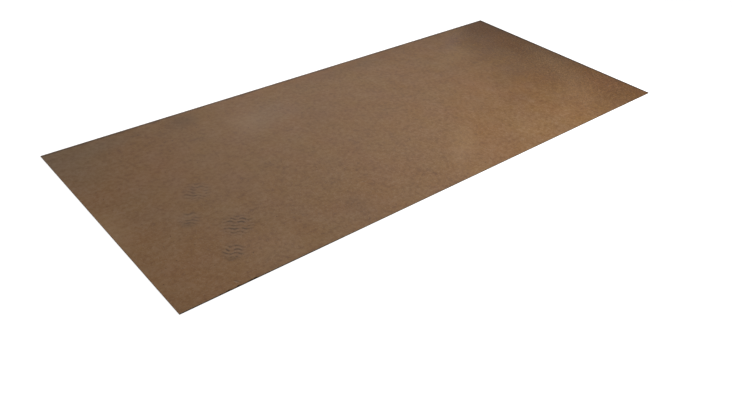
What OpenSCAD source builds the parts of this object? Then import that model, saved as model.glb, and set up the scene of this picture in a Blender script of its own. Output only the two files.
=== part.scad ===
// Hardboard sheet: one full-size board of pressed wood fibre, trimmed square.
// It lies flat, with the smooth face up and the wire-marked back on the floor.
// The origin is at the middle of the back, +X runs along the length and +Y
// across the width. All sizes are in millimetres.

/* [Board] */
// Length of the trimmed board
board_length = 2745; // [600:5:3660]
// Width of the trimmed board
board_width = 1220; // [300:5:1830]
// Thickness from the back to the smooth face
board_thickness = 3.2; // [2:0.1:9.5]

/* [Edges] */
// Radius of the arris along the smooth face, eased by handling
face_arris = 0.4; // [0.1:0.05:0.9]
// Radius of the crisper arris along the back
back_arris = 0.2; // [0.1:0.05:0.9]
// Radius worn on the four upright corners by stacking and handling
corner_wear = 1.5; // [0.5:0.25:12]

/* [Hidden] */

// Brown of pressed wood fibre
fibre_brown = [0.49, 0.39, 0.29];
// Facets round a full circle, for the small arrises and corners
$fn = 96;
// How far a cutting shape runs past the board
overrun = 1;

// What a radius takes off a square corner whose tip is at the origin and
// whose sides run along +X and +Y
module corner_waste(radius) {
    difference() {
        translate([-overrun, -overrun])
            square(radius + overrun);
        translate([radius, radius])
            circle(r = radius);
    }
}

// Section of a board that is `span` wide: centred, with its back at 0 and
// square-sawn sides, eased along the smooth face and along the back
module section(span) {
    difference() {
        translate([-span / 2, 0])
            square([span, board_thickness]);
        for (side = [0, 1])
            mirror([side, 0])
                translate([-span / 2, 0]) {
                    corner_waste(back_arris);
                    translate([0, board_thickness])
                        mirror([0, 1])
                            corner_waste(face_arris);
                }
    }
}

// Outline of the board seen from above: centred, with worn corners
module outline() {
    difference() {
        square([board_length, board_width], center = true);
        for (right = [0, 1], far = [0, 1])
            mirror([right, 0])
                mirror([0, far])
                    translate([-board_length / 2, -board_width / 2])
                        corner_waste(corner_wear);
    }
}

// The board is what its two sections, run the full length and the full width,
// share with its outline, so the arrises meet at the corners
module hardboard_sheet() {
    color(fibre_brown)
        intersection() {
            rotate([90, 0, 90])
                linear_extrude(height = board_length, center = true)
                    section(board_width);
            rotate([90, 0, 0])
                linear_extrude(height = board_width, center = true)
                    section(board_length);
            linear_extrude(height = board_thickness)
                outline();
        }
}

hardboard_sheet();
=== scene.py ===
# Hardboard sheet on a pale studio floor: looks only, the board's size comes from the frame.
import math

import bmesh
import bpy
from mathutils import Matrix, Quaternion, Vector, noise
from mathutils.geometry import delaunay_2d_cdt


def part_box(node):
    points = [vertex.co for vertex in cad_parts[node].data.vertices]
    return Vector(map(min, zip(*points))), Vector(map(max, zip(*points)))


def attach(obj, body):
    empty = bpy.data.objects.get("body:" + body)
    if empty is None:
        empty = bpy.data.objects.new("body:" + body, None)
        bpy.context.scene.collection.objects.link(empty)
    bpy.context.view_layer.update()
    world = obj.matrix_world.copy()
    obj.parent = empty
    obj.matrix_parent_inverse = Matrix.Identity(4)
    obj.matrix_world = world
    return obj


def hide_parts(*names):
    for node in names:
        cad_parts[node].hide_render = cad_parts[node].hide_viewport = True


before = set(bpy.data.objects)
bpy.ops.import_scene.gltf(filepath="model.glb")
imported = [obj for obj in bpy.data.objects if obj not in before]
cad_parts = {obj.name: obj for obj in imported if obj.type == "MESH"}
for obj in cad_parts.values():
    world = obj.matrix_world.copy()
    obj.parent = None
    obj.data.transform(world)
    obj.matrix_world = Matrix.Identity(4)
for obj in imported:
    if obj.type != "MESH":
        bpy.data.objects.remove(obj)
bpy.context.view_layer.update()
boardLow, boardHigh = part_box("hardboard_sheet")
boardSize = boardHigh - boardLow
print("frame loaded, board is", [round(side * 1000, 1) for side in boardSize], "mm")


def toLinear(sRgbHex):
    values = [int(sRgbHex[i:i + 2], 16) / 255 for i in (1, 3, 5)]
    return [v / 12.92 if v <= 0.04045 else ((v + 0.055) / 1.055) ** 2.4 for v in values] + [1.0]


def addNode(tree, kind, inputs=None, out=0, **settings):
    node = tree.nodes.new("ShaderNode" + kind)
    for name, value in settings.items():
        setattr(node, name, value)
    for name, value in (inputs or {}).items():
        if isinstance(value, bpy.types.NodeSocket):
            tree.links.new(value, node.inputs[name])
        else:
            node.inputs[name].default_value = value
    return node.outputs[out] if node.outputs else node


def newMaterial(name):
    material = bpy.data.materials.new(name)
    material.use_nodes = True
    material.node_tree.nodes.clear()
    return material, material.node_tree


# camera: a person standing off the left end, looking down along the board
view = dict(
    eye=(-2.090, -2.332, 1.731),  # eye height of a standing adult
    aim=(-0.4570, -0.5273, 0.0),  # point on the floor in the middle of the picture
    roll=3.12,  # degrees, the camera is held a little crooked
    lens=36.54,  # mm on a 36 mm sensor
    shiftX=-0.0134,
)


def makeCamera():
    data = bpy.data.cameras.new("camera")
    data.lens = view["lens"]
    data.sensor_width = 36
    data.shift_x = view["shiftX"]
    data.clip_start, data.clip_end = 0.05, 200
    camera = bpy.data.objects.new("camera", data)
    bpy.context.scene.collection.objects.link(camera)
    eye = Vector(view["eye"])
    level = (Vector(view["aim"]) - eye).to_track_quat("-Z", "Y")
    camera.rotation_mode = "QUATERNION"
    camera.rotation_quaternion = level @ Quaternion((0, 0, 1), math.radians(view["roll"]))
    camera.location = eye
    bpy.context.scene.camera = camera


makeCamera()
print("camera placed")


# the board as a mesh: faces flat, sawn edges with saw ripple and a few chips
board = dict(
    edgeStep=0.002,  # metres between the points along an edge
    cornerPoints=6,
    faceArris=0.0004,  # the same arrises and corners as the solid
    backArris=0.0002,
    cornerWear=0.0015,
    sawRipple=0.00007,  # how far the saw wandered in and out
    handlingWear=0.00012,  # uneven rubbing along the upper arris
    chipLip=0.0011,  # the face stays whole up to this far from a chip
    faceRing=0.008,  # where the flat middle of the smooth face starts
    backRing=0.003,
    faceCell=0.06,  # size of the triangles in the middle of a face
    growth=2.2,  # each row of triangles is this much coarser than the one outside it
    mapBorder=0.004,  # gap between the parts of the texture map, as a share of it
)

# chips along the upper arris: side, metres along it from its middle, width, depth;
# the near edge was knocked close to its left end, the rest is light wear
chips = [
    ("near", -1.217, 0.012, 0.0020),
    ("near", -1.190, 0.030, 0.0044),
    ("near", -1.149, 0.020, 0.0062),
    ("near", -1.094, 0.044, 0.0046),
    ("near", -1.081, 0.020, 0.0064),
    ("near", 0.310, 0.004, 0.0005),
    ("near", 0.842, 0.005, 0.0006),
    ("far", -0.520, 0.005, 0.0006),
    ("far", 0.700, 0.007, 0.0008),
    ("left", 0.180, 0.004, 0.0006),
    ("right", -0.230, 0.006, 0.0007),
]

sideNames = ["near", "right", "far", "left"]  # anticlockwise seen from above


def outlineColumns():
    # each column of points down the edge: its side, where it is on that side from -1 to 1,
    # which way it faces, and how far round the board it is
    columns = []
    travelled = 0.0
    for index, side in enumerate(sideNames):
        span = boardSize.x if index % 2 == 0 else boardSize.y
        straight = span - 2 * board["cornerWear"]
        steps = round(straight / board["edgeStep"])
        facing = math.radians(-90 + 90 * index)
        for i in range(steps + 1):
            share = -1 + 2 * i / steps
            columns.append((side, share, facing, travelled + straight * i / steps))
        travelled += straight
        for i in range(1, board["cornerPoints"]):
            turn = math.radians(90) * i / board["cornerPoints"]
            columns.append((side, 1.0, facing + turn, travelled + turn * board["cornerWear"]))
        travelled += math.radians(90) * board["cornerWear"]
    return columns


def halfSpans(side):
    # half the length of a side, and how far the side is from the middle of the board
    if side in ("near", "far"):
        return boardSize.x / 2, boardSize.y / 2
    return boardSize.y / 2, boardSize.x / 2


def outlinePoint(column, inset, radius):
    side, share, angle, _ = column
    halfLong, toSide = halfSpans(side)
    facing = math.radians(-90 + 90 * sideNames.index(side))
    outward = Vector((math.cos(facing), math.sin(facing)))
    along = Vector((-outward.y, outward.x))
    centre = outward * (toSide - inset - radius) + along * share * (halfLong - inset - radius)
    return centre + Vector((math.cos(angle), math.sin(angle))) * radius


def chipDepth(column):
    side, share, _, _ = column
    halfLong, _ = halfSpans(side)
    depth = 0.0
    for chipSide, place, width, deep in chips:
        off = abs(share * halfLong - place) / (width / 2)
        if chipSide == side and off < 1:
            ragged = 0.75 + 0.25 * math.cos(off * 17 + place * 90)
            depth = max(depth, deep * (1 - off ** 2) * ragged)
    return depth


def edgeRings():
    # from the smooth face round the edge to the back: inset, corner radius, height,
    # and how much of the saw ripple, the rubbing and the chips each ring takes
    thick = boardSize.z
    face, back = board["faceArris"], board["backArris"]
    wear = board["cornerWear"]
    mid = 1 - math.sqrt(0.5)  # the middle of a quarter circle, from its tip
    return [
        (board["faceRing"], 0.0050, thick, 0, 0, 0),
        (board["chipLip"], 0.0006, thick, 0, 0, 1),
        (face, wear - face, thick, 0, 1, 1),
        (face * mid, wear - face * mid, thick - face * mid, 0.3, 1, 1),
        (0, wear, thick - face, 1, 0.5, 0.9),
        (0, wear, thick * 0.64, 1, 0, 0.7),
        (0, wear, thick * 0.42, 1, 0, 0.4),
        (0, wear, thick * 0.22, 1, 0, 0.15),
        (0, wear, back, 0.8, 0, 0),
        (back * mid, wear - back * mid, back * mid, 0.3, 0, 0),
        (back, wear - back, 0, 0, 0, 0),
        (board["backRing"], 0.0020, 0, 0, 0, 0),
    ]


def fillFace(mesh, ring, height, upward):
    # closes a face inside its ring with triangles that grow towards the middle
    points = [vert.co.xy for vert in ring]
    inset = board["faceRing"] if upward else board["backRing"]
    cell = board["edgeStep"]
    halfX, halfY = boardSize.x / 2, boardSize.y / 2
    while cell < board["faceCell"]:
        cell = min(cell * board["growth"], board["faceCell"])
        inset += cell
        across, up = halfX - inset, halfY - inset
        countX, countY = round(2 * across / cell), round(2 * up / cell)
        for i in range(countX):
            x = -across + 2 * across * i / countX
            points += [Vector((x, -up)), Vector((-x, up))]
        for i in range(countY):
            y = -up + 2 * up * i / countY
            points += [Vector((across, y)), Vector((-across, -y))]
    inset += board["faceCell"]
    across, up = halfX - inset, halfY - inset
    countX, countY = round(2 * across / cell), round(2 * up / cell)
    for i in range(countX + 1):
        for j in range(countY + 1):
            points.append(Vector((-across + 2 * across * i / countX, -up + 2 * up * j / countY)))
    loop = [(i, (i + 1) % len(ring)) for i in range(len(ring))]
    flat, _, triangles, sources, _, _ = delaunay_2d_cdt(points, loop, [], 1, 1e-7)
    verts = []
    for place, source in zip(flat, sources):
        known = [i for i in source if i < len(ring)]
        verts.append(ring[known[0]] if known else mesh.verts.new((place.x, place.y, height)))
    faces = []
    for triangle in triangles:
        corners = [verts[i] for i in triangle]
        if not upward:
            corners.reverse()
        faces.append(mesh.faces.new(corners))
    return faces


def buildBoard():
    mesh = bmesh.new()
    chipped = mesh.verts.layers.float.new("chipped")
    columns = outlineColumns()
    rings = []
    for inset, radius, height, ripple, rubbing, chipping in edgeRings():
        ring = []
        onBreak = 0 if inset >= board["chipLip"] else 1
        for column in columns:
            travelled = column[3]
            # ripples about 4 mm apart, with uneven tooth marks on them
            saw = noise.noise(Vector((travelled * 260, height * 90, 3.0)))
            saw += 0.6 * noise.noise(Vector((travelled * 900, height * 400, 8.0)))
            rub = 0.5 + 0.5 * noise.noise(Vector((travelled * 35, 1.7, 5.0)))
            rub *= board["handlingWear"] * rubbing
            chip = chipDepth(column) * chipping
            inward = inset + board["sawRipple"] * ripple * (0.7 + saw) * 0.6 + rub * 0.5 + chip
            spot = outlinePoint(column, inward, radius)
            sunk = rub * 0.3
            if height > boardSize.z * 0.5:
                sunk += chip * 0.35 * onBreak
            ring.append(mesh.verts.new((spot.x, spot.y, height - sunk)))
            # chipped marks the chips, which the materials darken as painted shade
            ring[-1][chipped] = min(1.0, chip / 0.0009) * onBreak
        rings.append(ring)
    count = len(columns)
    sideFaces = []
    for r in range(len(rings) - 1):
        for c in range(count):
            d = (c + 1) % count
            quad = mesh.faces.new((rings[r][d], rings[r][c], rings[r + 1][c], rings[r + 1][d]))
            sideFaces.append((quad, r, c))
    topFaces = fillFace(mesh, rings[0], boardSize.z, True)
    backFaces = fillFace(mesh, rings[-1], 0.0, False)
    layMap(mesh, topFaces, backFaces, sideFaces, columns)
    mesh.normal_update()
    data = bpy.data.meshes.new("pressed_board")
    mesh.to_mesh(data)
    mesh.free()
    for polygon in data.polygons:
        polygon.use_smooth = True
    piece = bpy.data.objects.new("pressed_board", data)
    bpy.context.scene.collection.objects.link(piece)
    return piece


def layMap(mesh, topFaces, backFaces, sideFaces, columns):
    # one texture map: both faces at one scale, the edges as wide strips under them
    layer = mesh.loops.layers.uv.new("OFBake")
    border = board["mapBorder"]
    scale = (1 - 2 * border) / boardSize.x
    tall = boardSize.y * scale

    def flatSpot(vert, base):
        across = (vert.co.x + boardSize.x / 2) * scale
        return border + across, base + (vert.co.y + boardSize.y / 2) * scale

    topBase = 1 - border - tall
    backBase = topBase - border - tall
    for faces, base, slotIndex in ((topFaces, topBase, 0), (backFaces, backBase, 2)):
        for face in faces:
            face.material_index = slotIndex
            for loop in face.loops:
                loop[layer].uv = flatSpot(loop.vert, base)
    # the first two rows of faces lie on the smooth face, the last one on the back
    topRing, backRing = 2, len(edgeRings()) - 2
    stripTall = (backBase - 2 * border) / len(sideNames) - border
    starts = {}
    for side, _, _, travelled in columns:
        starts.setdefault(side, travelled)
    for face, ring, columnIndex in sideFaces:
        onTop, onBack = ring < topRing, ring >= backRing
        face.material_index = 0 if onTop else 2 if onBack else 1
        side, _, _, travelled = columns[columnIndex]
        row = sideNames.index(side)
        for corner, loop in enumerate(face.loops):
            if onTop or onBack:
                loop[layer].uv = flatSpot(loop.vert, topBase if onTop else backBase)
                continue
            step = 1 if corner in (0, 3) else 0
            ringOf = ring if corner in (0, 1) else ring + 1
            along = travelled - starts[side] + step * board["edgeStep"]
            down = (ringOf - topRing) / (backRing - topRing)
            up = row * (stripTall + border) + stripTall * (1 - down)
            loop[layer].uv = (border + along * scale, border + up)


pressedBoard = buildBoard()
print("board built,", len(pressedBoard.data.polygons), "faces")


# colours and sizes of the fibre, shared by the three surfaces
fibre = dict(
    bodyBrown="#855F36",  # wood fibre browned by the heat of the press
    pale="#9A7B5D",
    dark="#572E0A",
    paleFibre="#BAA086",
    darkFibre="#3F2810",
    # bark also gives the painted shade on the near edge and in the chips
    bark="#2A1A10",
    deepBrown="#4A3018",
    warm="#9A5F22",  # more orange
    cool="#57605A",  # greyer
    bright="#B9986F",  # lighter and paler
    cloudMm=420,  # thick and thin places in the mat of pulp
    mottleMm=80,  # patches where the pulp drained slower
    clotMm=18,  # clots of fibre, real ones are 5 to 20
    tintMm=150,  # patches of pulp from another log
    barkCellMm=48,  # one bark speck in some of these cells
    barkMm=2.6,
    # cell with one fibre in it, length and width of the fibre, start of the pattern, strength;
    # real bundles are 8 by 0.5 mm, too fine to show
    bundles=[
        (15, (13.0, 2.2), 3.1, 0.25),
        (12, (13.0, 2.2), 11.7, 0.22),
        (6, (6.0, 0.9), 7.3, 0.22),
    ],
    # coarser dark bundles, on the right end only, drawn coarse in the same way
    coarseBundles=[
        (15, (16.0, 4.5), 1.3, 0.55),
        (12, (13.0, 3.5), 9.7, 0.5),
    ],
    scrape=(-1139, -583, -55, 13, 3.2),  # x, y, turn, half length, half width
    wornEndMm=(850, 1200),  # fibres and coarse bundles show more from here along the board
    wornSideMm=(250, -250),  # and more from here towards the near side
    wornLevels=(0.15, 1.0, 1.3),  # how strongly on the far side, the near side and the right end
    evenEndMm=(850, 1250),  # the brown is evener from here to the right end
    evenness=0.6,
    darkEnd=(620, -0.21),  # how far in the right end is darker, in mm, and by how much
    paleEnd=(400, 0.09),
    rimMm=(20, 8),  # the dark rim starts this far in and is full this near the edge
    # what, x and y in mm from the middle, turn in degrees, half length and half width, strength
    patches=[
        ("deepBrown", -740, 535, 0, 120, 100, 0.34),
        ("deepBrown", 350, 600, 0, 720, 180, 0.22),
        ("deepBrown", -850, 470, 0, 130, 80, 0.08),
        ("deepBrown", 1290, 480, 80, 260, 200, 0.3),
        ("deepBrown", 1385, 430, 88, 330, 75, 0.42),
        ("deepBrown", 840, -60, 40, 160, 90, 0.12),
        ("deepBrown", 745, -245, 0, 130, 100, 0.12),
        ("deepBrown", 510, -230, 60, 200, 110, 0.08),
        ("deepBrown", -190, 210, 60, 230, 140, 0.08),
        ("deepBrown", 0, 520, 0, 330, 110, 0.05),
        ("deepBrown", -520, -490, 80, 150, 80, 0.13),
        ("deepBrown", -1180, 80, 0, 90, 90, 0.08),
        ("deepBrown", -1370, -560, 60, 160, 120, 0.1),
        ("bright", -500, 360, 70, 210, 170, 0.12),
        ("bright", 860, 330, 20, 230, 110, 0.1),
        ("bright", 1100, 20, 90, 300, 110, 0.08),
        ("bright", 1250, -40, 75, 330, 150, 0.18),
        ("bright", 1090, 560, 0, 150, 90, 0.12),
        ("bright", 830, -490, 0, 120, 90, 0.08),
        ("bright", 1110, -350, 45, 300, 170, 0.14),
        ("bright", 180, -400, 38, 240, 90, 0.16),
        ("bright", 40, -560, 80, 150, 80, 0.08),
        ("bright", 560, -470, 0, 180, 100, 0.08),
        ("bright", -960, -500, 0, 230, 190, 0.1),
        ("bright", -1370, -70, 90, 240, 120, 0.18),
        ("cool", -1370, 600, 40, 420, 400, 0.25),
        ("cool", -1290, 320, 0, 150, 140, 0.08),
        ("cool", -400, 350, 40, 190, 120, 0.05),
        ("cool", 1330, 40, 85, 420, 150, 0.07),
        ("cool", 1010, 0, 0, 170, 150, 0.07),
        ("cool", -1070, 540, 10, 260, 90, 0.11),
        ("cool", 1372, -200, 90, 90, 60, 0.15),
        ("warm", -1300, -450, 50, 440, 400, 0.14),
        ("warm", 670, 0, 0, 160, 170, 0.1),
        ("warm", 420, -270, 50, 430, 180, 0.12),
        ("warm", 210, -590, 0, 300, 180, 0.1),
        ("warm", 50, 620, 0, 1100, 100, 0.2),
        ("warm", 620, 510, 0, 330, 110, 0.04),
        ("warm", 1290, -330, 80, 260, 120, 0.1),
        ("warm", 1270, 380, 85, 300, 170, 0.16),
    ],
)

dust = dict(
    bars="#30241A",  # damp street dirt, pressed dark under the bars of the tread
    film="#94857A",  # and dried to a pale film between them
    treadPitchMm=21,
    treadWaveMm=(46, 4),  # length and swing of the wavy bars
    slipMm=20,  # how far the foot slid and bent the bars
    heelMm=(52, 45),  # half length and half width of the heel
    # ball of the foot x and y in mm, way the toe points in degrees, ball to heel in mm,
    # half length and half width of the ball, how strong the film and the bars are
    prints=[
        (-978, -20, 52, 187, 68, 60, 0.13, 0.5),
        (-962, -308, 52, 164, 72, 64, 0.14, 0.66),
    ],
    pale="#A0949E",
    # x and y in mm, turn in degrees, half length and half width in mm, strength
    smears=[
        (960, 462, 36, 230, 80, 0.06),
        (-380, 340, 15, 340, 180, 0.05),
    ],
)


def boardMm(tree):
    # where a point is on the board, in mm from the middle of the back
    place = addNode(tree, "TexCoord", out="Object")
    return addNode(tree, "VectorMath", {0: place, "Scale": 1000.0}, operation="SCALE")


def fibreStrands(tree, inMm, cellMm, sizeMm, shift):
    # one short fibre to a cell, each lying its own way; gives its mask and a random tone
    place = addNode(tree, "VectorMath", {0: inMm, "Scale": 1 / cellMm}, operation="SCALE")
    place = addNode(tree, "VectorMath", {0: place, 1: (shift, shift * 1.7, 0)}, operation="ADD")
    cell = addNode(tree, "TexVoronoi", {"Vector": place, "Scale": 1.0}, "Color", voronoi_dimensions="2D")
    centre = cell.node.outputs["Position"]
    offset = addNode(tree, "VectorMath", {0: place, 1: centre}, operation="SUBTRACT")
    chance = addNode(tree, "SeparateColor", {0: cell})
    turn = addNode(tree, "Math", {0: chance, 1: math.tau}, operation="MULTIPLY")
    turned = addNode(tree, "VectorRotate", {"Vector": offset, "Angle": turn}, rotation_type="Z_AXIS")
    along = addNode(tree, "SeparateXYZ", {0: turned})
    mask = None
    for socket, half in ((along, sizeMm[0] / 2), (along.node.outputs["Y"], sizeMm[1] / 2)):
        far = addNode(tree, "Math", {0: socket}, operation="ABSOLUTE")
        near = addNode(tree, "MapRange", {
            "Value": far, "From Min": half / cellMm, "From Max": half * 0.4 / cellMm,
        }, interpolation_type="SMOOTHSTEP")
        mask = near if mask is None else addNode(tree, "Math", {0: mask, 1: near}, operation="MULTIPLY")
    return mask, chance.node.outputs["Green"]


def layFibres(tree, inMm, colour, relief, bundles, boldness, paleFrom, lift):
    # scatters fibres over a surface, dark ones and pale ones, each a little raised
    for cellMm, sizeMm, shift, amount in bundles:
        mask, tone = fibreStrands(tree, inMm, cellMm, sizeMm, shift)
        isPale = addNode(tree, "Math", {0: tone, 1: paleFrom}, operation="GREATER_THAN")
        strand = addNode(tree, "Mix", {
            0: isPale, 6: toLinear(fibre["darkFibre"]), 7: toLinear(fibre["paleFibre"]),
        }, 2, data_type="RGBA")
        blend = addNode(tree, "Math", {0: mask, 1: amount}, operation="MULTIPLY")
        blend = addNode(tree, "Math", {0: blend, 1: boldness}, operation="MULTIPLY")
        colour = addNode(tree, "Mix", {0: blend, 6: colour, 7: strand}, 2, data_type="RGBA")
        relief = addNode(tree, "Math", {0: mask, 1: lift, 2: relief}, operation="MULTIPLY_ADD")
    return colour, relief


def ovalReach(tree, inMm, x, y, turn, halfLong, halfWide):
    # 0 in the middle of a lying oval, 1 at its rim
    angle = -math.radians(turn)
    shrink = (1 / halfLong, 1 / halfWide, 0)
    place = addNode(tree, "VectorMath", {0: inMm, 1: (x, y, 0)}, operation="SUBTRACT")
    place = addNode(tree, "VectorRotate", {"Vector": place, "Angle": angle}, rotation_type="Z_AXIS")
    place = addNode(tree, "VectorMath", {0: place, 1: shrink}, operation="MULTIPLY")
    return addNode(tree, "VectorMath", {0: place}, "Value", operation="LENGTH")


def softOvals(tree, inMm, colour, ovals):
    # each oval: its colour, and what ovalReach takes, and its strength
    for tone, x, y, turn, halfLong, halfWide, amount in ovals:
        reach = ovalReach(tree, inMm, x, y, turn, halfLong, halfWide)
        patch = addNode(tree, "MapRange", {
            "Value": reach, "From Min": 1.0, "From Max": 0.1, "To Max": amount,
        }, interpolation_type="SMOOTHSTEP")
        colour = addNode(tree, "Mix", {0: patch, 6: colour, 7: toLinear(tone)}, 2, data_type="RGBA")
    return colour


def shoePrint(tree, inMm, ballX, ballY, toeAngle, heelAway, ballLong, ballWide, filmLevel, barLevel):
    # a sole seen from above: ball and heel pads of grey film, crossed by wavy bars of tread
    angle = -math.radians(toeAngle)
    place = addNode(tree, "VectorMath", {0: inMm, 1: (ballX, ballY, 0)}, operation="SUBTRACT")
    place = addNode(tree, "VectorRotate", {"Vector": place, "Angle": angle}, rotation_type="Z_AXIS")
    along = addNode(tree, "SeparateXYZ", {0: place})
    waveLong, waveSwing = dust["treadWaveMm"]
    swing = addNode(tree, "Math", {
        0: along.node.outputs["Y"], 1: math.tau / waveLong}, operation="MULTIPLY")
    swing = addNode(tree, "Math", {0: swing}, operation="SINE")
    row = addNode(tree, "Math", {0: swing, 1: waveSwing, 2: along}, operation="MULTIPLY_ADD")
    slip = addNode(tree, "TexNoise", {"Vector": inMm, "Scale": 1 / 55, "Detail": 1.0})
    row = addNode(tree, "Math", {0: slip, 1: dust["slipMm"], 2: row}, operation="MULTIPLY_ADD")
    row = addNode(tree, "Math", {0: row, 1: math.tau / dust["treadPitchMm"]}, operation="MULTIPLY")
    row = addNode(tree, "Math", {0: row}, operation="SINE")
    bars = addNode(tree, "MapRange", {"Value": row, "From Min": -0.25, "From Max": 0.8})
    # the back of the heel prints solid
    heelBack = addNode(tree, "MapRange", {
        "Value": along, "From Min": -heelAway - 28, "From Max": -heelAway - 36})
    bars = addNode(tree, "Math", {0: bars, 1: heelBack}, operation="MAXIMUM")
    # broken up where the sole only half touched
    patchy = addNode(tree, "TexNoise", {"Vector": inMm, "Scale": 1 / 34, "Detail": 4.0, "Roughness": 0.65})
    pads = None
    for middle, halfLong, halfWide in ((0, ballLong, ballWide), (-heelAway, *dust["heelMm"])):
        shrink = (1 / halfLong, 1 / halfWide, 0)
        oval = addNode(tree, "VectorMath", {0: place, 1: (middle, 0, 0)}, operation="SUBTRACT")
        oval = addNode(tree, "VectorMath", {0: oval, 1: shrink}, operation="MULTIPLY")
        reach = addNode(tree, "VectorMath", {0: oval}, "Value", operation="LENGTH")
        reach = addNode(tree, "Math", {0: patchy, 1: 1.6, 2: reach}, operation="MULTIPLY_ADD")
        pad = addNode(tree, "MapRange", {"Value": reach, "From Min": 1.98, "From Max": 1.48})
        pads = pad if pads is None else addNode(tree, "Math", {0: pads, 1: pad}, operation="MAXIMUM")
    film = addNode(tree, "Math", {0: bars, 1: -filmLevel, 2: filmLevel}, operation="MULTIPLY_ADD")
    film = addNode(tree, "Math", {0: pads, 1: film}, operation="MULTIPLY")
    pressed = addNode(tree, "MapRange", {
        "Value": patchy, "From Min": 0.42, "From Max": 0.54, "To Min": 0.1 * barLevel, "To Max": barLevel})
    bars = addNode(tree, "Math", {0: bars, 1: pads}, operation="MULTIPLY")
    return film, addNode(tree, "Math", {0: bars, 1: pressed}, operation="MULTIPLY")


def paintedEdgeShade(tree, colour, axes):
    # painted shade: the near edge is painted black over its left third, where it stands in shadow, a little
    # of it on the arris
    leftward = addNode(tree, "MapRange", {
        "Value": axes["X"], "From Min": -500.0, "From Max": -900.0, "To Max": 0.8,
    }, interpolation_type="SMOOTHSTEP")
    inward = addNode(tree, "Math", {0: axes["Y"], 1: boardSize.y * 500}, operation="ADD")
    outside = addNode(tree, "MapRange", {"Value": inward, "From Min": 2.5, "From Max": 0.5})
    paintedShade = addNode(tree, "Math", {0: leftward, 1: outside}, operation="MULTIPLY")
    colour = addNode(tree, "Mix", {0: paintedShade, 6: colour, 7: toLinear(fibre["bark"])}, 2, data_type="RGBA")
    # painted shade in the chips: the nicks are darkened with the same dark brown
    chips = addNode(tree, "Attribute", out="Fac", attribute_name="chipped")
    chipShade = addNode(tree, "Math", {0: chips, 1: 0.9}, operation="MULTIPLY")
    return addNode(tree, "Mix", {0: chipShade, 6: colour, 7: toLinear(fibre["bark"])}, 2, data_type="RGBA")


def pulpColour(tree, inMm, tones, axes):
    # the brown of the pulp before anything happened to the board
    mixed = addNode(tree, "Math", {0: tones["cloud"], 1: 0.15, 2: 0.5}, operation="MULTIPLY_ADD")
    uneven = addNode(tree, "Math", {
        0: tones["mottle"], 1: 0.26, 2: tones["clot"]}, operation="MULTIPLY_ADD")

    # the brown is evener and darker towards the right end, and paler towards the left end
    evenFrom, evenTo = fibre["evenEndMm"]
    calmer = addNode(tree, "MapRange", {
        "Value": axes["X"], "From Min": evenFrom, "From Max": evenTo,
        "To Min": 1.0, "To Max": fibre["evenness"]})
    mixed = addNode(tree, "Math", {0: uneven, 1: calmer, 2: mixed}, operation="MULTIPLY_ADD")
    lengthwise = addNode(tree, "Math", {
        0: tones["cloud"], 1: 260.0, 2: axes["X"]}, operation="MULTIPLY_ADD")
    endX = boardSize.x * 500
    darkLong, darker = fibre["darkEnd"]
    paleLong, paler = fibre["paleEnd"]
    for fromMm, toMm, change in ((endX - darkLong, endX, darker), (paleLong - endX, -endX, paler)):
        tone = addNode(tree, "MapRange", {
            "Value": lengthwise, "From Min": fromMm, "From Max": toMm, "To Max": change,
        }, interpolation_type="SMOOTHSTEP")
        mixed = addNode(tree, "Math", {0: mixed, 1: tone}, operation="ADD")
    ramp = addNode(tree, "ValToRGB", {0: mixed}).node
    ramp.color_ramp.elements[0].color = toLinear(fibre["dark"])
    ramp.color_ramp.elements[1].color = toLinear(fibre["pale"])
    middle = ramp.color_ramp.elements.new(0.5)
    middle.color = toLinear(fibre["bodyBrown"])

    # bark and inner wood in the pulp: warmer and greyer patches at the same lightness
    tint = addNode(tree, "TexNoise", {"Vector": inMm, "Scale": 1 / fibre["tintMm"], "Detail": 2.5})
    warmth = addNode(tree, "MapRange", {
        "Value": tint, "From Min": 0.2, "From Max": 0.8, "To Min": 0.95, "To Max": 1.05})
    hue = addNode(tree, "MapRange", {
        "Value": tint.node.outputs["Color"], "From Min": 0.2, "From Max": 0.8,
        "To Min": 0.493, "To Max": 0.507})
    return addNode(tree, "HueSaturation", {"Hue": hue, "Saturation": warmth, "Color": ramp.outputs[0]})


def darkRim(tree, colour, mottle, axes):
    # a dark rim along the far side and the right end
    fromFar = addNode(tree, "Math", {0: boardSize.y * 500, 1: axes["Y"]}, operation="SUBTRACT")
    fromRight = addNode(tree, "Math", {0: boardSize.x * 500, 1: axes["X"]}, operation="SUBTRACT")
    margin = addNode(tree, "Math", {0: fromFar, 1: fromRight}, operation="MINIMUM")
    margin = addNode(tree, "Math", {0: mottle, 1: 24.0, 2: margin}, operation="MULTIPLY_ADD")
    outer, inner = fibre["rimMm"]
    rim = addNode(tree, "MapRange", {
        "Value": margin, "From Min": outer, "From Max": inner, "To Max": 0.6,
    }, interpolation_type="SMOOTHSTEP")
    colour = addNode(tree, "Mix", {0: rim, 6: colour, 7: toLinear(fibre["deepBrown"])}, 2, data_type="RGBA")
    # and the right end was scuffed as well
    scuffed = addNode(tree, "MapRange", {
        "Value": fromRight, "From Min": 14.0, "From Max": 5.0, "To Max": 0.5})
    return addNode(tree, "Mix", {0: scuffed, 6: colour, 7: toLinear(fibre["bark"])}, 2, data_type="RGBA")


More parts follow.
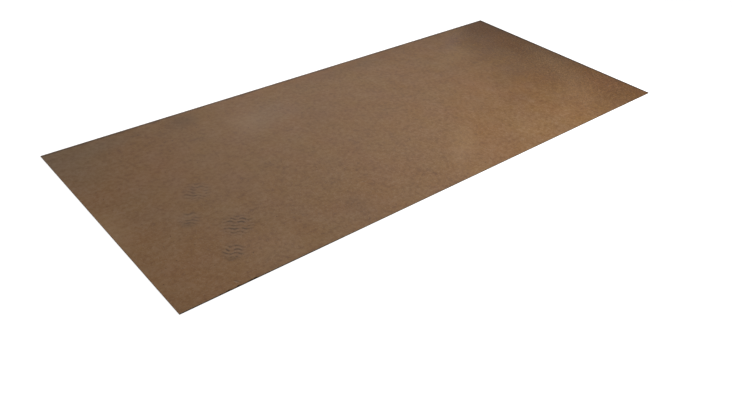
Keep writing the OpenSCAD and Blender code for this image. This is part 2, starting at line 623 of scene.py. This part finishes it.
def looseFibres(tree, inMm, colour, relief, axes):
    # the skin is worn thinner along the near side, and most at the right end, so fibres show there
    sideFrom, sideTo = fibre["wornSideMm"]
    endFrom, endTo = fibre["wornEndMm"]
    farLevel, nearLevel, endLevel = fibre["wornLevels"]
    nearSide = addNode(tree, "MapRange", {
        "Value": axes["Y"], "From Min": sideFrom, "From Max": sideTo,
        "To Min": farLevel, "To Max": nearLevel})
    rightEnd = addNode(tree, "MapRange", {"Value": axes["X"], "From Min": endFrom, "From Max": endTo})
    worn = addNode(tree, "Mix", {0: rightEnd, 2: nearSide, 3: endLevel}, data_type="FLOAT")
    colour, relief = layFibres(tree, inMm, colour, relief, fibre["bundles"], worn, 0.76, 0.4)
    return layFibres(tree, inMm, colour, relief, fibre["coarseBundles"], rightEnd, 1.0, 0.4)


def barkSpecks(tree, inMm, colour):
    # a bark speck in about one cell in three
    place = addNode(tree, "VectorMath", {0: inMm, "Scale": 1 / fibre["barkCellMm"]}, operation="SCALE")
    near = addNode(tree, "TexVoronoi", {"Vector": place, "Scale": 1.0}, voronoi_dimensions="2D")
    chance = addNode(tree, "SeparateColor", {0: near.node.outputs["Color"]})
    speckSize = addNode(tree, "MapRange", {
        "Value": chance, "From Min": 0.66, "To Min": 0.0, "To Max": fibre["barkMm"] / fibre["barkCellMm"]})
    inside = addNode(tree, "Math", {0: speckSize, 1: near}, operation="SUBTRACT")
    bark = addNode(tree, "MapRange", {"Value": inside, "From Min": 0.0, "From Max": 0.012, "To Max": 0.75})
    return addNode(tree, "Mix", {0: bark, 6: colour, 7: toLinear(fibre["bark"])}, 2, data_type="RGBA")


def scrape(tree, inMm, colour):
    # one scrape near the chipped edge: a dark furrow with torn pale fibre beside it
    x, y, turn, halfLong, halfWide = fibre["scrape"]
    for offset, tone, amount in ((3.0, "paleFibre", 0.35), (0.0, "bark", 0.45)):
        reach = ovalReach(tree, inMm, x - offset, y - offset, turn, halfLong, halfWide)
        furrow = addNode(tree, "MapRange", {
            "Value": reach, "From Min": 1.0, "From Max": 0.5, "To Max": amount})
        colour = addNode(tree, "Mix", {0: furrow, 6: colour, 7: toLinear(fibre[tone])}, 2, data_type="RGBA")
    return colour


def pressedFace():
    # standard hardboard, smooth side: pulp pressed hot against a polished steel plate,
    # so the eye sees short fibres lying every way under a thin, slightly waxy skin
    material, tree = newMaterial("pressed_fibre_smooth_face")
    inMm = boardMm(tree)
    axes = addNode(tree, "SeparateXYZ", {0: inMm}).node.outputs
    tones = {}
    for name, detail in (("cloud", 3.0), ("mottle", 1.0), ("clot", 2.8)):
        tone = addNode(tree, "TexNoise", {
            "Vector": inMm, "Scale": 1 / fibre[name + "Mm"], "Detail": detail, "Roughness": 0.68})
        tones[name] = addNode(tree, "Math", {0: tone, 1: 0.5}, operation="SUBTRACT")
    colour = pulpColour(tree, inMm, tones, axes)
    colour = softOvals(tree, inMm, colour, [(fibre[kind], *rest) for kind, *rest in fibre["patches"]])
    colour = darkRim(tree, colour, tones["mottle"], axes)
    colour, relief = looseFibres(tree, inMm, colour, tones["clot"], axes)
    colour = barkSpecks(tree, inMm, colour)
    colour = softOvals(tree, inMm, colour, [(dust["pale"], *smear) for smear in dust["smears"]])
    colour = scrape(tree, inMm, colour)
    # painted shade on the near edge and in the chips
    colour = paintedEdgeShade(tree, colour, axes)
    dirty = None
    for footPrint in dust["prints"]:
        film, bars = shoePrint(tree, inMm, *footPrint)
        colour = addNode(tree, "Mix", {0: film, 6: colour, 7: toLinear(dust["film"])}, 2, data_type="RGBA")
        colour = addNode(tree, "Mix", {0: bars, 6: colour, 7: toLinear(dust["bars"])}, 2, data_type="RGBA")
        dirty = film if dirty is None else addNode(tree, "Math", {0: dirty, 1: film}, operation="MAXIMUM")

    rough = addNode(tree, "MapRange", {
        "Value": tones["clot"], "From Min": -0.25, "From Max": 0.25, "To Min": 0.46, "To Max": 0.58})
    rough = addNode(tree, "Math", {0: dirty, 1: 0.4, 2: rough}, operation="MULTIPLY_ADD")
    bump = addNode(tree, "Bump", {"Height": relief, "Strength": 0.3, "Distance": 0.00004})
    shader = addNode(tree, "BsdfPrincipled", {
        "Base Color": colour, "Roughness": rough, "IOR": 1.5, "Specular IOR Level": 0.3, "Normal": bump})
    addNode(tree, "OutputMaterial", {"Surface": shader})
    return material


sawn = dict(
    core="#45301B",
    torn="#8E6C49",
    layerMm=(9.0, 0.45),  # length and thickness of the layers in the pulp
    tuftMm=1.8,  # tufts of fibre pulled out by the teeth
    skinMm=0.6,
)


def sawnEdge():
    # the same board cut by a saw: torn fibre ends, paler and furry, in thin layers
    # that lie flat, with a dense dark skin next to each face
    material, tree = newMaterial("sawn_fibre_edge")
    inMm = boardMm(tree)
    axes = addNode(tree, "SeparateXYZ", {0: inMm}).node.outputs
    layerLong, layerThick = sawn["layerMm"]
    squeeze = (1 / layerLong, 1 / layerLong, 1 / layerThick)
    flat = addNode(tree, "VectorMath", {0: inMm, 1: squeeze}, operation="MULTIPLY")
    layers = addNode(tree, "TexNoise", {"Vector": flat, "Scale": 1.0, "Detail": 3.0})
    tufts = addNode(tree, "TexNoise", {
        "Vector": inMm, "Scale": 1 / sawn["tuftMm"], "Detail": 3.0, "Roughness": 0.7})
    paler = addNode(tree, "MapRange", {"Value": layers, "From Min": 0.32, "From Max": 0.68})
    colour = addNode(tree, "Mix", {
        0: paler, 6: toLinear(sawn["core"]), 7: toLinear(sawn["torn"])}, 2, data_type="RGBA")
    pulled = addNode(tree, "MapRange", {"Value": tufts, "From Min": 0.5, "From Max": 0.68, "To Max": 0.65})
    colour = addNode(tree, "Mix", {
        0: pulled, 6: colour, 7: toLinear(fibre["darkFibre"])}, 2, data_type="RGBA")
    middle = boardSize.z * 500
    fromCore = addNode(tree, "Math", {0: axes["Z"], 1: middle}, operation="SUBTRACT")
    fromCore = addNode(tree, "Math", {0: fromCore}, operation="ABSOLUTE")
    skin = addNode(tree, "MapRange", {
        "Value": fromCore, "From Min": middle - sawn["skinMm"], "From Max": middle - 0.1, "To Max": 0.6})
    colour = addNode(tree, "Mix", {0: skin, 6: colour, 7: toLinear(fibre["deepBrown"])}, 2, data_type="RGBA")
    # painted shade on the near edge and in the chips
    colour = paintedEdgeShade(tree, colour, axes)
    relief = addNode(tree, "Math", {0: layers, 1: tufts}, operation="ADD")
    bump = addNode(tree, "Bump", {"Height": relief, "Strength": 0.8, "Distance": 0.0002})
    shader = addNode(tree, "BsdfPrincipled", {
        "Base Color": colour, "Roughness": 0.9, "Specular IOR Level": 0.3, "Normal": bump})
    addNode(tree, "OutputMaterial", {"Surface": shader})
    return material


screen = dict(
    duller="#55402B",
    paler="#967654",
    wireMm=6.0,  # real wires are 1.5 apart, drawn wider so that the weave can be seen
    strayMm=9.0,  # the screen is old and slack, so its wires wander a little
    slackMm=130,
    cloudMm=260,
    clotMm=14,
    bundles=[
        (15, (13.0, 2.2), 5.3, 0.2),
        (10.5, (6.0, 0.9), 9.1, 0.3),
    ],
)


def screenBack():
    # the side that lay on the wire screen in the press: a duller brown, dimpled
    # all over by the weave, with fibre pushed up between the wires
    material, tree = newMaterial("screen_marked_fibre_back")
    inMm = boardMm(tree)
    slack = addNode(tree, "TexNoise", {
        "Vector": inMm, "Scale": 1 / screen["slackMm"], "Detail": 2.0}, "Color")
    stray = (screen["strayMm"], screen["strayMm"], 0)
    strayed = addNode(tree, "VectorMath", {0: slack, 1: stray, 2: inMm}, operation="MULTIPLY_ADD")
    axes = addNode(tree, "SeparateXYZ", {0: strayed}).node.outputs
    weave = None
    for across in (axes["X"], axes["Y"]):
        wave = addNode(tree, "Math", {0: across, 1: math.pi / screen["wireMm"]}, operation="MULTIPLY")
        wave = addNode(tree, "Math", {0: wave}, operation="SINE")
        weave = wave if weave is None else addNode(tree, "Math", {0: weave, 1: wave}, operation="MULTIPLY")
    cloud = addNode(tree, "TexNoise", {
        "Vector": inMm, "Scale": 1 / screen["cloudMm"], "Detail": 4.0, "Roughness": 0.6})
    clot = addNode(tree, "TexNoise", {
        "Vector": inMm, "Scale": 1 / screen["clotMm"], "Detail": 4.0, "Roughness": 0.65})
    tone = addNode(tree, "Math", {0: cloud, 1: 1.1, 2: -0.8}, operation="MULTIPLY_ADD")
    tone = addNode(tree, "Math", {0: clot, 1: 1.5, 2: tone}, operation="MULTIPLY_ADD")
    colour = addNode(tree, "Mix", {
        0: tone, 6: toLinear(screen["duller"]), 7: toLinear(screen["paler"])}, 2, data_type="RGBA")
    # the wires pressed deeper in some places than in others
    bite = addNode(tree, "MapRange", {
        "Value": cloud, "From Min": 0.35, "From Max": 0.65, "To Min": 0.35, "To Max": 0.75})
    sunk = addNode(tree, "MapRange", {"Value": weave, "From Min": -1.0, "From Max": 1.0})
    sunk = addNode(tree, "Math", {0: sunk, 1: bite}, operation="MULTIPLY")
    colour = addNode(tree, "Mix", {
        0: sunk, 6: colour, 7: toLinear(fibre["darkFibre"])}, 2, data_type="RGBA")
    relief = addNode(tree, "Math", {0: weave, 1: clot}, operation="ADD")
    colour, relief = layFibres(tree, inMm, colour, relief, screen["bundles"], 1.0, 0.6, 0.8)
    bump = addNode(tree, "Bump", {"Height": relief, "Strength": 0.8, "Distance": 0.0003})
    shader = addNode(tree, "BsdfPrincipled", {
        "Base Color": colour, "Roughness": 0.8, "Specular IOR Level": 0.35, "Normal": bump})
    addNode(tree, "OutputMaterial", {"Surface": shader})
    return material


for makeMaterial in (pressedFace, sawnEdge, screenBack):
    pressedBoard.data.materials.append(makeMaterial())
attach(pressedBoard, "root")
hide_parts("hardboard_sheet")
print("materials on")


# studio: pale floor, a soft lamp over the near right, a soft panel beyond the board
studio = dict(
    floorSize=80.0,
    floorGlow=0.7,  # lifts the lit floor to white for the camera and leaves its shadow
    worldLevel=0.377,
    lampWatts=40.4,
    lampPlace=(1.2, -0.55, 1.83),
    lampAim=(0.32, -3.59, 0.0),
    lampSize=1.0,
    panelWatts=20.3,
    panelPlace=(0.45, 1.58, 1.44),
    panelAim=(-0.69, 0.99, 0.0),
    panelSize=2.7,
)


def makeFloor():
    half = studio["floorSize"] / 2
    data = bpy.data.meshes.new("floor")
    low = boardLow.z - 0.0001
    corners = [(-half, -half, low), (half, -half, low), (half, half, low), (-half, half, low)]
    data.from_pydata(corners, [], [(0, 1, 2, 3)])
    floor = bpy.data.objects.new("floor", data)
    bpy.context.scene.collection.objects.link(floor)
    material, tree = newMaterial("pale_floor")
    path = addNode(tree, "LightPath", out="Is Camera Ray").node.outputs
    seen = addNode(tree, "Math", {0: path["Is Camera Ray"], 1: path["Is Glossy Ray"]}, operation="MAXIMUM")
    seen = addNode(tree, "Math", {0: seen, 1: path["Is Transmission Ray"]}, operation="MAXIMUM")
    glow = addNode(tree, "Math", {0: seen, 1: studio["floorGlow"]}, operation="MULTIPLY")
    shader = addNode(tree, "BsdfPrincipled", {
        "Base Color": (0.8, 0.8, 0.8, 1.0), "Roughness": 0.9, "Specular IOR Level": 0.2,
        "Emission Color": (1, 1, 1, 1), "Emission Strength": glow})
    addNode(tree, "OutputMaterial", {"Surface": shader})
    data.materials.append(material)


def makeLight(name, watts, place, aim, size):
    data = bpy.data.lights.new(name, "AREA")
    data.shape = "SQUARE"
    data.size = size
    data.energy = watts
    lamp = bpy.data.objects.new(name, data)
    lamp.location = place
    lamp.rotation_mode = "QUATERNION"
    lamp.rotation_quaternion = (Vector(aim) - Vector(place)).to_track_quat("-Z", "Y")
    lamp.visible_camera = False
    bpy.context.scene.collection.objects.link(lamp)


def makeWorld():
    world = bpy.data.worlds.new("studio")
    world.use_nodes = True
    tree = world.node_tree
    tree.nodes.clear()
    toCamera = addNode(tree, "LightPath", out="Is Camera Ray")
    level = addNode(tree, "Mix", {0: toCamera, 2: studio["worldLevel"], 3: 1.0}, data_type="FLOAT")
    background = addNode(tree, "Background", {"Color": (1, 1, 1, 1), "Strength": level})
    addNode(tree, "OutputWorld", {"Surface": background})
    bpy.context.scene.world = world


makeFloor()
makeLight("key_lamp", studio["lampWatts"], studio["lampPlace"], studio["lampAim"], studio["lampSize"])
makeLight("far_panel", studio["panelWatts"], studio["panelPlace"], studio["panelAim"], studio["panelSize"])
makeWorld()
bpy.context.scene.view_settings.view_transform = "Standard"
print("studio lit")
